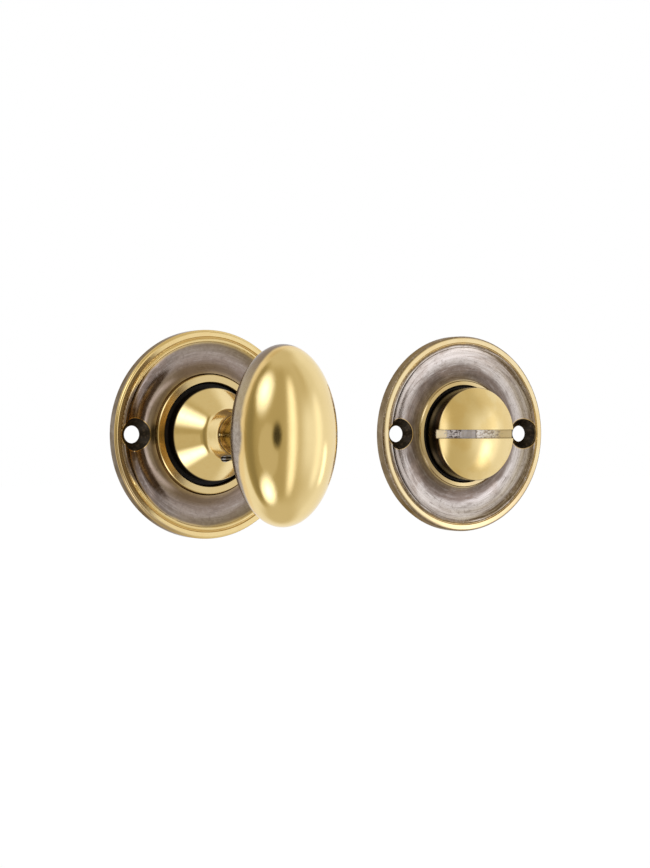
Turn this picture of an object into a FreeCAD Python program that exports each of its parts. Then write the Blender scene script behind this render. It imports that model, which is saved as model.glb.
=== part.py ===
import FreeCAD, Part
import math
import os
from FreeCAD import Matrix, Vector

# Bathroom thumb turn lock: a turn half and a release half laid out side by side.
# All lengths are millimetres. Z is up, Y points into the door, the faces look along -Y.
# The origin is the centre of the turn rose's back face. A depth is measured forward from
# the door plane, so a point at depth d lies at y = -d, and what is behind it has d < 0.

# Layout
rose_spacing = 79.4

# Rose, the same rim and field on both halves
rose_r = 26.5
rose_wall_depth = 2.4
rim_edge_r = 0.7
rim_land_width = 0.95
rim_groove_width = 0.45
rim_groove_depth = 0.14
inner_bead_r = 0.55
inner_bead_lift = 0.1
field_low_depth = 1.9
collar_bore_r = 13.15
collar_foot_reach = 0.4
collar_foot_rise = 0.55
collar_edge = 0.2
turn_collar_depth = 4.1
turn_collar_wall = 1.95
release_collar_depth = 3.0
release_collar_wall = 1.35
web_front_depth = 1.6
web_hole_r = 7.0
seat_r = 9.6
seat_depth = 0.5

# Screw holes, countersunk for a flat head
screw_rim_inset = 6.0
screw_hole_r = 2.2
screw_sink_r = 4.1
screw_land = 0.3

# Bearing bush
bush_bore_fit = 0.05
bush_rose_fit = 0.05
turn_bush_flange = 1.4
release_bush_flange = 1.0
bush_end_recess = 0.1
moving_gap = 0.3

# Journal with its retaining parts
journal_r = 5.0
journal_end_land = 1.0
groove_r = 4.65
groove_width = 1.1
washer_r = 9.0
washer_thickness = 0.8
washer_bore_fit = 0.15
spring_thickness = 0.25
spring_height = 0.9
spring_waves = 3
spring_bore_fit = 0.6
spring_seat_fit = 0.02
spring_open_deg = 8.0
clip_thickness = 1.0
clip_face_fit = 0.05
clip_back_r = 6.9
clip_back_offset = 0.35
clip_open_deg = 62.0
clip_lug_r = 1.35
clip_lug_hole_r = 0.6

# Flared stem of the turn
flare_rim_r = 11.8
flare_rim_depth = 6.2
flare_rim_edge = 0.3
flare_foot_r = 6.35
flare_foot_depth = 11.85
flare_foot_blend = 5.0
neck_r = 4.7
neck_start_depth = 16.6
neck_start_blend = 6.0
neck_end_depth = 24.8
stem_bead_r = 0.75
spigot_r = 4.0
spigot_length = 5.0
spigot_fit = 0.03
spigot_end_fit = 0.3

# Oval knob
knob_half_width = 13.55
knob_half_height = 22.0
knob_foot_length = 3.6
knob_crown = 12.0
knob_back_rise = 9.6
knob_foot_r = 7.2
knob_foot_sink = 0.4

# Square drive
spindle_side = 5.0
spindle_fit = 0.05
spindle_reach = 27.0
spindle_chamfer = 0.6
turn_socket_top_depth = 18.5
spindle_end_fit = 0.3
release_tail = 12.0
release_socket_depth = 11.5

# Grub screw under the foot of the flare
grub_set_back = 5.1
grub_r = 2.0
grub_fit = 0.03
grub_length = 2.7
grub_point_fit = 0.02
grub_point_chamfer = 0.4
grub_key_across = 2.0
grub_key_depth = 1.4

# Release drum
drum_r = 12.55
drum_edge_depth = 8.8
drum_edge = 0.25
drum_crown = 3.3
slot_width = 2.4
slot_cutter_r = 30.0
slot_low_depth = 5.0
plug_fit = 0.02
plug_face_drop = 0.05


def at(r, depth):
    """Point of a profile, r from the axis and depth forward of the door plane."""
    return Vector(r, -depth, 0)


def line(a, b):
    return Part.LineSegment(a, b).toShape()


def arc(a, via, b):
    return Part.Arc(a, via, b).toShape()


def polyline(points):
    return [line(a, b) for a, b in zip(points, points[1:])]


def revolve(edges, x=0.0):
    """Solid swept by a closed profile about the Y axis, moved to the axis at x."""
    face = Part.Face(Part.Wire(edges))
    solid = face.revolve(Vector(0, 0, 0), Vector(0, 1, 0), 360)
    solid.translate(Vector(x, 0, 0))
    return solid


def disc(r, depth_back, depth_front, x=0.0, z=0.0):
    """Cylinder about a line along Y between two depths."""
    return Part.makeCylinder(r, depth_front - depth_back, Vector(x, -depth_back, z), Vector(0, -1, 0))


def ring(outer_r, inner_r, depth_back, depth_front, x=0.0):
    over = 1.0
    hole = disc(inner_r, depth_back - over, depth_front + over, x)
    return disc(outer_r, depth_back, depth_front, x).cut(hole)


def square_bar(side, depth_back, depth_front, x=0.0):
    corner = Vector(x - side / 2, -depth_front, -side / 2)
    return Part.makeBox(side, depth_front - depth_back, side, corner)


def on_circle(r, depth, radius, degrees):
    a = math.radians(degrees)
    return at(r + radius * math.cos(a), depth + radius * math.sin(a))


def screw_cutter(x):
    """Clearance hole, cone and the straight wall above the cone, at one screw."""
    over = 1.0
    cone_rise = screw_sink_r - screw_hole_r
    hole = disc(screw_hole_r, -over, screw_land + over, x)
    cone = Part.makeCone(screw_hole_r, screw_sink_r, cone_rise, Vector(x, -screw_land, 0), Vector(0, -1, 0))
    top = screw_land + cone_rise
    wall = disc(screw_sink_r, top, top + rose_wall_depth + turn_collar_depth, x)
    return hole.fuse(cone).fuse(wall)


def make_rose(x, collar_depth, collar_wall):
    """Turned ring: rim with land, groove and bead, hollow field, collar, counterbore and seat."""
    edge_centre_r = rose_r - rim_edge_r
    land_depth = rose_wall_depth + rim_edge_r
    land_end = at(edge_centre_r - rim_land_width, land_depth)
    bead_centre_r = land_end.x - rim_groove_width - inner_bead_r * math.cos(math.radians(30))
    bead_centre_depth = land_depth + inner_bead_lift - inner_bead_r
    collar_outer_r = collar_bore_r + collar_wall
    bead_start = on_circle(bead_centre_r, bead_centre_depth, inner_bead_r, 30)
    bead_end = on_circle(bead_centre_r, bead_centre_depth, inner_bead_r, 150)
    groove_mid = (land_end + bead_start) * 0.5 + Vector(0, rim_groove_depth, 0)
    foot_depth = field_low_depth + (collar_depth - field_low_depth) * collar_foot_rise
    field_end = at(collar_outer_r + collar_foot_reach, foot_depth)
    field_low = at((bead_end.x + field_end.x) / 2, field_low_depth)
    collar_side = at(collar_outer_r, collar_depth - collar_edge)
    edges = [
        line(at(seat_r, 0), at(rose_r, 0)),
        line(at(rose_r, 0), at(rose_r, rose_wall_depth)),
        arc(
            at(rose_r, rose_wall_depth),
            on_circle(edge_centre_r, rose_wall_depth, rim_edge_r, 45),
            at(edge_centre_r, land_depth),
        ),
        line(at(edge_centre_r, land_depth), land_end),
        arc(land_end, groove_mid, bead_start),
        arc(
            bead_start,
            on_circle(bead_centre_r, bead_centre_depth, inner_bead_r, 90),
            bead_end,
        ),
        arc(bead_end, field_low, field_end),
    ]
    edges += polyline(
        [
            field_end,
            collar_side,
            at(collar_outer_r - collar_edge, collar_depth),
            at(collar_bore_r + collar_edge, collar_depth),
            at(collar_bore_r, collar_depth - collar_edge),
            at(collar_bore_r, web_front_depth),
            at(web_hole_r, web_front_depth),
            at(web_hole_r, seat_depth),
            at(seat_r, seat_depth),
            at(seat_r, 0),
        ]
    )
    rose = revolve(edges, x)
    screw_reach = rose_r - screw_rim_inset
    for side in (-1, 1):
        rose = rose.cut(screw_cutter(x + side * screw_reach))
    return rose


def make_bush(x, flange):
    """Flanged bearing bush, its flange in the counterbore and its sleeve in the web."""
    bore = journal_r + bush_bore_fit
    sleeve = web_hole_r - bush_rose_fit
    rim = collar_bore_r - bush_rose_fit
    edge = 0.3
    back = seat_depth + bush_end_recess
    top = web_front_depth + flange
    points = [
        at(bore, back),
        at(sleeve, back),
        at(sleeve, web_front_depth),
        at(rim, web_front_depth),
        at(rim, top - edge),
        at(rim - edge, top),
        at(bore + edge, top),
        at(bore, top - edge),
        at(bore, back),
    ]
    return revolve(polyline(points), x)


def groove_front_depth():
    """Depth of the front wall of the clip groove, behind spring, gap and washer."""
    return seat_depth - spring_height - moving_gap - washer_thickness


def journal_end_depth():
    return groove_front_depth() - groove_width - journal_end_land


def journal_cutter(x):
    """Material taken from the journal for the retaining clip."""
    over = 1.0
    front = groove_front_depth()
    return ring(journal_r + over, groove_r, front - groove_width, front, x)


def make_washer(x):
    back = groove_front_depth() + clip_face_fit
    return ring(washer_r, journal_r + washer_bore_fit, back, back + washer_thickness - clip_face_fit, x)


def make_spring(x):
    """Waved spring washer, one strip of sheet with a gap, resting on the rose's back."""
    inner = journal_r + spring_bore_fit
    swing = (spring_height - spring_thickness) / 2
    steps = 16 * spring_waves
    start = math.radians(90 + spring_open_deg / 2)
    span = 2 * math.pi - math.radians(spring_open_deg)
    rows = []
    for r in (inner, (inner + washer_r) / 2, washer_r):
        row = []
        for i in range(steps + 1):
            a = start + span * i / steps
            y = spring_seat_fit - seat_depth + swing * (1 - math.cos(spring_waves * (a - start)))
            row.append(Vector(x + r * math.cos(a), y, r * math.sin(a)))
        rows.append(row)
    sheet = Part.BSplineSurface()
    sheet.interpolate(rows)
    return sheet.toShape().extrude(Vector(0, spring_thickness, 0))


def make_clip(x):
    """Retaining clip, thickest opposite its mouth, with a drilled lug at each end."""
    front = groove_front_depth() - clip_face_fit
    back = front - clip_thickness
    body = disc(clip_back_r, back, front, x, -clip_back_offset)
    half = math.radians(clip_open_deg / 2)
    lug_at = groove_r + clip_lug_r
    for side in (-1, 1):
        lx = x + side * lug_at * math.sin(half)
        lz = lug_at * math.cos(half)
        body = body.fuse(disc(clip_lug_r, back, front, lx, lz))
    reach = 3 * clip_back_r
    inner_half = half - clip_lug_r / lug_at
    corners = [
        Vector(x, -front - 1, 0),
        Vector(x - reach * math.sin(inner_half), -front - 1, reach * math.cos(inner_half)),
        Vector(x + reach * math.sin(inner_half), -front - 1, reach * math.cos(inner_half)),
    ]
    mouth = Part.Face(Part.makePolygon(corners + corners[:1])).extrude(Vector(0, clip_thickness + 2, 0))
    body = body.cut(mouth).cut(disc(groove_r, back - 1, front + 1, x))
    for side in (-1, 1):
        lx = x + side * lug_at * math.sin(half)
        lz = lug_at * math.cos(half)
        body = body.cut(disc(clip_lug_hole_r, back - 1, front + 1, lx, lz))
    return body.removeSplitter()


def blend(before, corner, after, radius):
    """Start, middle and end of the arc that rounds one corner of a profile."""
    back = (before - corner).normalize()
    ahead = (after - corner).normalize()
    half = back.getAngle(ahead) / 2
    inward = (back + ahead).normalize()
    centre = corner + inward * (radius / math.sin(half))
    reach = radius / math.tan(half)
    return corner + back * reach, centre - inward * radius, corner + ahead * reach


def flare_edges():
    """Steep cone of the flare, a slimmer cone above it and the straight neck, blended."""
    rim = at(flare_rim_r - flare_rim_edge, flare_rim_depth)
    foot = at(flare_foot_r, flare_foot_depth)
    neck = at(neck_r, neck_start_depth)
    end = at(neck_r, neck_end_depth)
    foot_arc = blend(rim, foot, neck, flare_foot_blend)
    neck_arc = blend(foot, neck, end, neck_start_blend)
    return [
        line(rim, foot_arc[0]),
        arc(*foot_arc),
        line(foot_arc[2], neck_arc[0]),
        arc(*neck_arc),
        line(neck_arc[2], end),
    ]


def make_stem():
    """Flared stem of the turn with its journal, square socket, spigot and screw hole."""
    base = web_front_depth + turn_bush_flange + moving_gap
    joint = knob_joint_depth()
    journal_end = journal_end_depth()
    chamfer = 0.4
    edges = polyline(
        [
            at(0, journal_end),
            at(journal_r - chamfer, journal_end),
            at(journal_r, journal_end + chamfer),
            at(journal_r, base),
            at(flare_rim_r, base),
            at(flare_rim_r, flare_rim_depth - flare_rim_edge),
            at(flare_rim_r - flare_rim_edge, flare_rim_depth),
        ]
    )
    edges += flare_edges()
    edges.append(
        arc(
            at(neck_r, neck_end_depth),
            at(neck_r + stem_bead_r, neck_end_depth + stem_bead_r),
            at(neck_r, joint),
        )
    )
    edges += polyline(
        [
            at(neck_r, joint),
            at(spigot_r, joint),
            at(spigot_r, joint + spigot_length - chamfer),
            at(spigot_r - chamfer, joint + spigot_length),
            at(0, joint + spigot_length),
            at(0, journal_end),
        ]
    )
    stem = revolve(edges)
    stem = stem.cut(journal_cutter(0))
    side = spindle_side + 2 * spindle_fit
    stem = stem.cut(square_bar(side, journal_end - 1, turn_socket_top_depth))
    return stem.cut(grub_cutter())


def grub_depth():
    """Depth of the set screw, behind the front end of the socket."""
    return turn_socket_top_depth - grub_set_back


def grub_cutter():
    """Radial hole under the foot of the flare."""
    return Part.makeCylinder(grub_r, 2 * flare_rim_r, Vector(0, -grub_depth(), 0), Vector(0, 0, -1))


def make_grub():
    """Set screw with a chamfered point on the spindle and a hexagon socket."""
    r = grub_r - grub_fit
    point_z = -(spindle_side / 2 + grub_point_fit)
    start = Vector(0, -grub_depth(), point_z)
    down = Vector(0, 0, -1)
    body = Part.makeCone(r - grub_point_chamfer, r, grub_point_chamfer, start, down)
    shank = Part.makeCylinder(
        r, grub_length - grub_point_chamfer, start + Vector(0, 0, -grub_point_chamfer), down
    )
    body = body.fuse(shank).removeSplitter()
    key_r = grub_key_across / 2 / math.cos(math.pi / 6)
    end_z = point_z - grub_length
    corners = []
    for k in range(7):
        a = math.radians(60 * k)
        corners.append(Vector(key_r * math.cos(a), key_r * math.sin(a) - grub_depth(), end_z))
    key = Part.Face(Part.makePolygon(corners)).extrude(Vector(0, 0, grub_key_depth))
    return body.cut(key)


def knob_joint_depth():
    """Depth of the plane where the knob's foot sits on the stem's bead."""
    return neck_end_depth + 2 * stem_bead_r


def knob_middle_depth():
    return knob_joint_depth() + knob_foot_length + knob_back_rise


def ellipsoid_half(depth_rise, front):
    """Half of an ellipsoid on the knob's middle plane, towards the front or the stem."""
    ball = Part.makeSphere(1.0, Vector(0, 0, 0), Vector(0, 1, 0))
    y = -2.0 if front else 0.0
    half = ball.common(Part.makeBox(4, 2, 4, Vector(-2, y, -2)))
    stretch = Matrix()
    stretch.scale(knob_half_width, depth_rise, knob_half_height)
    half = half.transformGeometry(stretch)
    half.translate(Vector(0, -knob_middle_depth(), 0))
    return half


def knob_foot_top_depth():
    """Depth where the foot's spread ends, just inside the body's back."""
    share = knob_foot_r / knob_half_width
    back_depth = knob_middle_depth() - knob_back_rise * math.sqrt(1 - share ** 2)
    return back_depth + knob_foot_sink


def make_knob():
    """Oval knob: crowned front, round back and a foot that spreads from the stem."""
    joint = knob_joint_depth()
    top = knob_foot_top_depth()
    bore = spigot_r + spigot_fit
    bore_top = joint + spigot_length + spigot_end_fit
    edges = [
        line(at(0, joint), at(neck_r, joint)),
        arc(
            at(neck_r, joint),
            at(neck_r + 0.7, joint + 0.72 * (top - joint)),
            at(knob_foot_r, top),
        ),
        line(at(knob_foot_r, top), at(0, top)),
        line(at(0, top), at(0, joint)),
    ]
    foot = revolve(edges)
    body = ellipsoid_half(knob_crown, True).fuse(ellipsoid_half(knob_back_rise, False))
    body = body.fuse(foot).removeSplitter()
    return body.cut(disc(bore, joint - 1, bore_top))


def make_spindle():
    """Square spindle from the stem's socket to behind the rose, with a pointed end."""
    front = turn_socket_top_depth - spindle_end_fit
    bar = square_bar(spindle_side, -spindle_reach, front)
    tip = [
        e
        for e in bar.Edges
        if all(abs(v.Point.y - spindle_reach) < 1e-6 for v in e.Vertexes)
    ]
    return bar.makeChamfer(spindle_chamfer, tip)


def make_drum():
    """Domed release drum with its journal and tail, saw-cut slot and square bore."""
    x = rose_spacing
    base = web_front_depth + release_bush_flange + moving_gap
    chamfer = 0.4
    cap_edge_r = drum_r - drum_edge
    cap_r = (cap_edge_r**2 + drum_crown**2) / (2 * drum_crown)
    half = math.asin(cap_edge_r / cap_r) / 2
    top = drum_edge_depth + drum_crown
    via = at(cap_r * math.sin(half), top - cap_r * (1 - math.cos(half)))
    edges = [arc(at(0, top), via, at(cap_edge_r, drum_edge_depth))]
    edges += polyline(
        [
            at(cap_edge_r, drum_edge_depth),
            at(drum_r, drum_edge_depth - drum_edge),
            at(drum_r, base),
            at(journal_r, base),
            at(journal_r, chamfer - release_tail),
            at(journal_r - chamfer, -release_tail),
            at(0, -release_tail),
            at(0, top),
        ]
    )
    drum = revolve(edges, x)
    wheel_y = -(slot_low_depth + slot_cutter_r)
    wheel = Part.makeCylinder(
        slot_cutter_r, slot_width, Vector(x, wheel_y, -slot_width / 2), Vector(0, 0, 1)
    )
    drum = drum.cut(wheel).cut(journal_cutter(x))
    side = spindle_side + 2 * spindle_fit
    socket_top = release_socket_depth - release_tail
    drum = drum.cut(square_bar(side, -release_tail - 1, socket_top, x))
    plug_side = spindle_side + 2 * plug_fit
    return drum.cut(square_bar(plug_side, socket_top - 1, slot_low_depth + slot_width, x))


def make_plug():
    """Square steel plug that closes the bore and shows in the floor of the slot."""
    back = release_socket_depth - release_tail
    return square_bar(spindle_side, back, slot_low_depth - plug_face_drop, rose_spacing)


def main():
    os.makedirs("parts", exist_ok=True)
    nodes = {
        "turn_rose": make_rose(0, turn_collar_depth, turn_collar_wall),
        "turn_bush": make_bush(0, turn_bush_flange),
        "turn_stem": make_stem(),
        "oval_knob": make_knob(),
        "grub_screw": make_grub(),
        "spindle": make_spindle(),
        "turn_spring": make_spring(0),
        "turn_washer": make_washer(0),
        "turn_clip": make_clip(0),
        "release_rose": make_rose(rose_spacing, release_collar_depth, release_collar_wall),
        "release_bush": make_bush(rose_spacing, release_bush_flange),
        "release_drum": make_drum(),
        "release_plug": make_plug(),
        "release_spring": make_spring(rose_spacing),
        "release_washer": make_washer(rose_spacing),
        "release_clip": make_clip(rose_spacing),
    }
    for name, shape in nodes.items():
        if not shape.isValid() or len(shape.Solids) != 1:
            raise RuntimeError("bad solid: " + name)
        shape.exportStep("parts/" + name + ".step")
        print(name, round(shape.Volume, 1), "mm3")


main()
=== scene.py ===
# %% [markdown]
# # Dressing a bathroom thumb turn in aged brass
#
# The solids of the lock come from its CAD model: two turned roses, an oval knob on a flared
# stem, and a domed release with a saw-cut slot. This lesson adds what a solid can't say: the
# dark skin of the brass with its polished edges, the mirror of the knob, the thread of the
# small screw, and a quiet studio around them. Everything is in metres, in the frame of the CAD.

# %% Load the frame
from types import SimpleNamespace

import bpy
import numpy as np
from mathutils import Matrix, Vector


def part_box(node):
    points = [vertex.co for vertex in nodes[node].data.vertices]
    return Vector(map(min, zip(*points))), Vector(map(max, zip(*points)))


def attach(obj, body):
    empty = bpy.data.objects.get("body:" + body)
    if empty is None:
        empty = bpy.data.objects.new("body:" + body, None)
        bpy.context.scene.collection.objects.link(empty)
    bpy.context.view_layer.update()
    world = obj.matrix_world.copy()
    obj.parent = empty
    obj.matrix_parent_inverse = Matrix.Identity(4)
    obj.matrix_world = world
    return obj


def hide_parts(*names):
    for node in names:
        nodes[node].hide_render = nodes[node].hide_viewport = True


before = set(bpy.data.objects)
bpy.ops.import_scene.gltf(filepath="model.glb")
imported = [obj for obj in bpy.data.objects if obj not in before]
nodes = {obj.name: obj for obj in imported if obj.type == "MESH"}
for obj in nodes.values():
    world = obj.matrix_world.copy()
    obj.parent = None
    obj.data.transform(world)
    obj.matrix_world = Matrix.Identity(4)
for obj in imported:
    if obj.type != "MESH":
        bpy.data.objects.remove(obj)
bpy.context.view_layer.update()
MM = 0.001
print("nodes:", ", ".join(sorted(nodes)))

# %% [markdown]
# ## Camera
#
# The photograph was taken from the left of the turn, a little above its axis, with a long
# lens. The place of the camera follows from the outlines of the two roses: circles that turn
# into ellipses tell the angle, and the difference between the two ellipses tells the distance.
# A Track To constraint could aim a camera too, but a matrix of three unit vectors says every
# angle outright, the small roll included.

# %% Camera at the photograph's angle
LENS_MM = 93.93
SENSOR_MM = 36.0
DISTANCE = 595.93 * MM
AZIMUTH, ELEVATION, ROLL = np.radians([32.03, 0.5, -0.19])
TARGET = np.array([36.58, 0.0, 0.0]) * MM

back = np.array([
    -np.sin(AZIMUTH) * np.cos(ELEVATION),
    -np.cos(AZIMUTH) * np.cos(ELEVATION),
    np.sin(ELEVATION),
])
level = np.array([np.cos(AZIMUTH), -np.sin(AZIMUTH), 0.0])
above = np.cross(level, -back)
side = level * np.cos(ROLL) - above * np.sin(ROLL)
top = level * np.sin(ROLL) + above * np.cos(ROLL)

camera = bpy.data.objects.new("camera", bpy.data.cameras.new("camera"))
bpy.context.scene.collection.objects.link(camera)
camera.data.lens = LENS_MM
camera.data.sensor_width = SENSOR_MM
camera.data.clip_start = 10 * MM
pose = np.eye(4)
pose[:3, 0], pose[:3, 1], pose[:3, 2] = side, top, back
pose[:3, 3] = TARGET + back * DISTANCE
camera.matrix_world = Matrix(pose.tolist())
bpy.context.scene.camera = camera
bpy.context.scene.view_settings.view_transform = "Standard"
print("camera stands at", (pose[:3, 3] / MM).round(1), "mm")

# %% [markdown]
# ## Recipes
#
# A material is a small net of nodes. Written out in full it hides its own idea, so each step
# of a net gets a short call here: a product, a soft step, a mix, a noise. The nets of all
# finishes below are then lines that can be read like a recipe. The same calls serve the
# world and the lamps, because their nets are made of the same nodes.


# %% Short calls for node nets
class Recipe:
    """A node net under construction, for a material, a lamp or the world."""

    def __init__(self, tree):
        self.tree = tree
        tree.nodes.clear()

    def node(self, kind, **settings):
        made = self.tree.nodes.new("ShaderNode" + kind)
        for key, value in settings.items():
            setattr(made, key, value)
        return made

    def feed(self, socket, value):
        """Links a socket to an output, or sets it to a plain value."""
        if isinstance(value, bpy.types.NodeSocket):
            self.tree.links.new(value, socket)
        elif value is not None:
            socket.default_value = value

    def math(self, operation, a, b=None):
        made = self.node("Math", operation=operation)
        self.feed(made.inputs[0], a)
        self.feed(made.inputs[1], b)
        return made.outputs[0]

    def times(self, first, *others):
        """The product of two or more values."""
        for other in others:
            first = self.math("MULTIPLY", first, other)
        return first

    def plus(self, a, b):
        return self.math("ADD", a, b)

    def less(self, a, b):
        return self.math("SUBTRACT", a, b)

    def larger(self, a, b):
        return self.math("MAXIMUM", a, b)

    def length(self, a, b):
        """The square root of a squared plus b squared."""
        return self.math("SQRT", self.plus(self.times(a, a), self.times(b, b)))

    def step(self, value, low, high):
        """0 below low, 1 above high, and a soft change between them. With low above high
        it falls from 1 to 0 instead."""
        if low > high:
            return self.less(1.0, self.step(value, high, low))
        made = self.node("MapRange", interpolation_type="SMOOTHSTEP")
        self.feed(made.inputs["Value"], value)
        made.inputs["From Min"].default_value = low
        made.inputs["From Max"].default_value = high
        return made.outputs["Result"]

    def ramp(self, value, low, high, out_low, out_high):
        """A straight change from out_low to out_high while value goes from low to high."""
        made = self.node("MapRange")
        self.feed(made.inputs["Value"], value)
        made.inputs["From Min"].default_value = low
        made.inputs["From Max"].default_value = high
        made.inputs["To Min"].default_value = out_low
        made.inputs["To Max"].default_value = out_high
        return made.outputs["Result"]

    def band(self, value, low, high, soft):
        """1 between low and high, 0 outside, with edges as wide as soft."""
        rise = self.step(value, low - soft / 2, low + soft / 2)
        fall = self.step(value, high + soft / 2, high - soft / 2)
        return self.times(rise, fall)

    def levels(self, share, stops):
        """A curve through a list of (place, level) stops, for a share from 0 to 1."""
        made = self.node("FloatCurve")
        curve = made.mapping.curves[0]
        made.mapping.use_clip = False
        while len(curve.points) < len(stops):
            curve.points.new(0.5, 0.5)
        for point, stop in zip(curve.points, stops):
            point.location = stop
            point.handle_type = "AUTO_CLAMPED"
        made.mapping.update()
        self.feed(made.inputs["Value"], share)
        return made.outputs[0]

    def mix(self, share, a, b):
        """A number that goes from a to b as share goes from 0 to 1."""
        made = self.node("Mix", data_type="FLOAT")
        self.feed(made.inputs[0], share)
        self.feed(made.inputs[2], a)
        self.feed(made.inputs[3], b)
        return made.outputs[0]

    def tint(self, share, a, b):
        """A colour that goes from a to b as share goes from 0 to 1."""
        made = self.node("Mix", data_type="RGBA")
        self.feed(made.inputs[0], share)
        self.feed(made.inputs[6], (*a, 1.0) if isinstance(a, tuple) else a)
        self.feed(made.inputs[7], (*b, 1.0) if isinstance(b, tuple) else b)
        return made.outputs[2]

    def noise(self, vector, scale, detail=3.0, roughness=0.5, distortion=0.0):
        made = self.node("TexNoise")
        self.feed(made.inputs["Vector"], vector)
        made.inputs["Scale"].default_value = scale
        made.inputs["Detail"].default_value = detail
        made.inputs["Roughness"].default_value = roughness
        made.inputs["Distortion"].default_value = distortion
        return made.outputs["Fac"]

    def mapping(self, vector, scale, move=(0.0, 0.0, 0.0)):
        """A vector stretched by a scale on each axis and then moved."""
        made = self.node("Mapping", vector_type="POINT")
        made.inputs["Scale"].default_value = scale
        made.inputs["Location"].default_value = move
        self.feed(made.inputs["Vector"], vector)
        return made.outputs[0]

    def join(self, x, y, z):
        made = self.node("CombineXYZ")
        for socket, value in zip(made.inputs, (x, y, z)):
            self.feed(socket, value)
        return made.outputs[0]

    def split(self, vector):
        made = self.node("SeparateXYZ")
        self.feed(made.inputs[0], vector)
        return made.outputs


print("recipe has", len([call for call in vars(Recipe) if not call.startswith("_")]), "calls")

# %% [markdown]
# ## Places on the lock
#
# Every pattern below is a function of the place on the metal, in millimetres. Object
# coordinates give that place, because each piece's object sits at the origin. A turned piece
# wears and is brushed in circles, so for it the place is better told as a radius and a depth.
# Unrolling the angle would leave a seam, so the lathe vector holds its cosine and sine.

# %% Places in millimetres
LATHE_RADIUS, LATHE_ROUND, LATHE_DEPTH = 6.0, 3.0, 6.0
AXIS_RADIUS = 0.01


def places(net, centre_x=0.0):
    """Object coordinates in millimetres, with the Y axis moved to the centre of a half."""
    coordinates = net.node("TexCoord").outputs["Object"]
    return net.mapping(coordinates, (1 / MM, 1 / MM, 1 / MM), (-centre_x / MM, 0.0, 0.0))


def turned(net, centre_x=0.0):
    """Place, its x and z, the radius from the axis, the depth in front of the door, and a
    lathe vector: it is stretched along radius and depth and shrunk around the axis, so a
    noise on it runs in circles, and cosine and sine of the angle close it without a seam."""
    here = places(net, centre_x)
    x, y, z = net.split(here)
    radius = net.length(x, z)
    depth = net.times(y, -1.0)
    safe = net.larger(radius, AXIS_RADIUS)
    cosine = net.math("DIVIDE", x, safe)
    sine = net.math("DIVIDE", z, safe)
    third = net.plus(net.times(sine, LATHE_ROUND), net.times(depth, LATHE_DEPTH))
    lathe = net.join(net.times(radius, LATHE_RADIUS), net.times(cosine, LATHE_ROUND), third)
    return SimpleNamespace(here=here, x=x, z=z, radius=radius, depth=depth, lathe=lathe)


release_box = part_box("release_rose")
SPACING = float((release_box[0].x + release_box[1].x) / 2)
print("the axes stand", round(SPACING / MM, 2), "mm apart")

# %% [markdown]
# ## Studio
#
# Polished brass has little colour of its own to show: it shows the room. The room here is a
# white tent that is darker round the camera, with two large soft boxes on the left and a
# bright gap straight in front of the lock. Real lamps and panels could stand round the lock,
# but the room is painted into the world as a function of direction, because a painted box has
# the soft edge that cloth over a lamp has.

# %% Room of light
world = bpy.data.worlds.new("room")
bpy.context.scene.world = world
world.use_nodes = True
room = Recipe(world.node_tree)
ray_x, ray_y, ray_z = room.split(room.node("TexCoord").outputs["Generated"])
DEGREES = 180 / np.pi
azimuth = room.times(room.math("ARCTAN2", ray_x, room.times(ray_y, -1.0)), DEGREES)
elevation = room.times(room.math("ARCSINE", ray_z), DEGREES)


def soft_box(azimuth_at, elevation_at, half_width, half_height, soft):
    """Share of light from one box: a product of two bands, one round and one up."""
    wide = room.band(azimuth, azimuth_at - half_width, azimuth_at + half_width, soft)
    high = room.band(elevation, elevation_at - half_height, elevation_at + half_height, soft)
    return room.times(wide, high)


def soft_disc(azimuth_at, elevation_at, reach, soft):
    """Share of a round patch: 1 while the angle to its middle is below reach. The cosine of
    that angle is the product of the ray and the middle's direction, summed over the axes."""
    turn, lift = np.radians([azimuth_at, elevation_at])
    middle = np.sin(turn) * np.cos(lift), -np.cos(turn) * np.cos(lift), np.sin(lift)
    along = room.times(ray_x, float(middle[0]))
    along = room.plus(along, room.times(ray_y, float(middle[1])))
    along = room.plus(along, room.times(ray_z, float(middle[2])))
    angle = room.times(room.math("ARCCOSINE", along), DEGREES)
    return room.step(angle, reach + soft / 2, reach - soft / 2)


# Plain level of the tent, as (azimuth, level) from the wall behind the lock and round to it.
ROUND = [
    (-180, 1.0), (-122, 1.0), (-106, 0.42), (-92, 0.30), (-80, 0.42), (-62, 0.50), (-24, 0.50),
    (-8, 0.58), (14, 0.64), (27, 0.70), (40, 0.78), (62, 0.88), (90, 1.0), (180, 1.0),
]
CEILING = GROUND = 0.70
stops = [((at + 180) / 360, level_there) for at, level_there in ROUND]
light = room.levels(room.ramp(azimuth, -180, 180, 0, 1), stops)
light = room.mix(room.step(elevation, 52, 76), light, CEILING)
light = room.mix(room.step(elevation, -46, -70), light, GROUND)
PATCHES = {
    # name: (share of the patch, level)
    "bright gap in front of the lock": (soft_box(44, -2, 24, 20, 26), 1.04),
    "dim cloth above the gap": (soft_box(34, 44, 7, 18, 24), 0.60),
    "dim round screen on the left": (soft_disc(-50, -12, 21, 4), 0.62),
    "bright strip on the right": (soft_box(54, -4, 6, 24, 16), 1.34),
    "upper soft box on the left": (soft_disc(-67, 36, 13, 28), 2.7),
    "lower soft box on the left": (soft_disc(-62, -47, 12, 20), 2.8),
    "camera, small and dark": (soft_disc(-31, 0, 9, 7), 0.05),
}
for share, level_of_patch in PATCHES.values():
    light = room.mix(share, light, level_of_patch)
print("room:", "; ".join(PATCHES))

# %% [markdown]
# The metal and the floor see this room, and the camera sees plain white behind the lock. Light
# Path tells the two apart, so the white costs the object no light. Dim parts of the room are
# warm, like wood and cloth, and lit parts are white.

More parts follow.
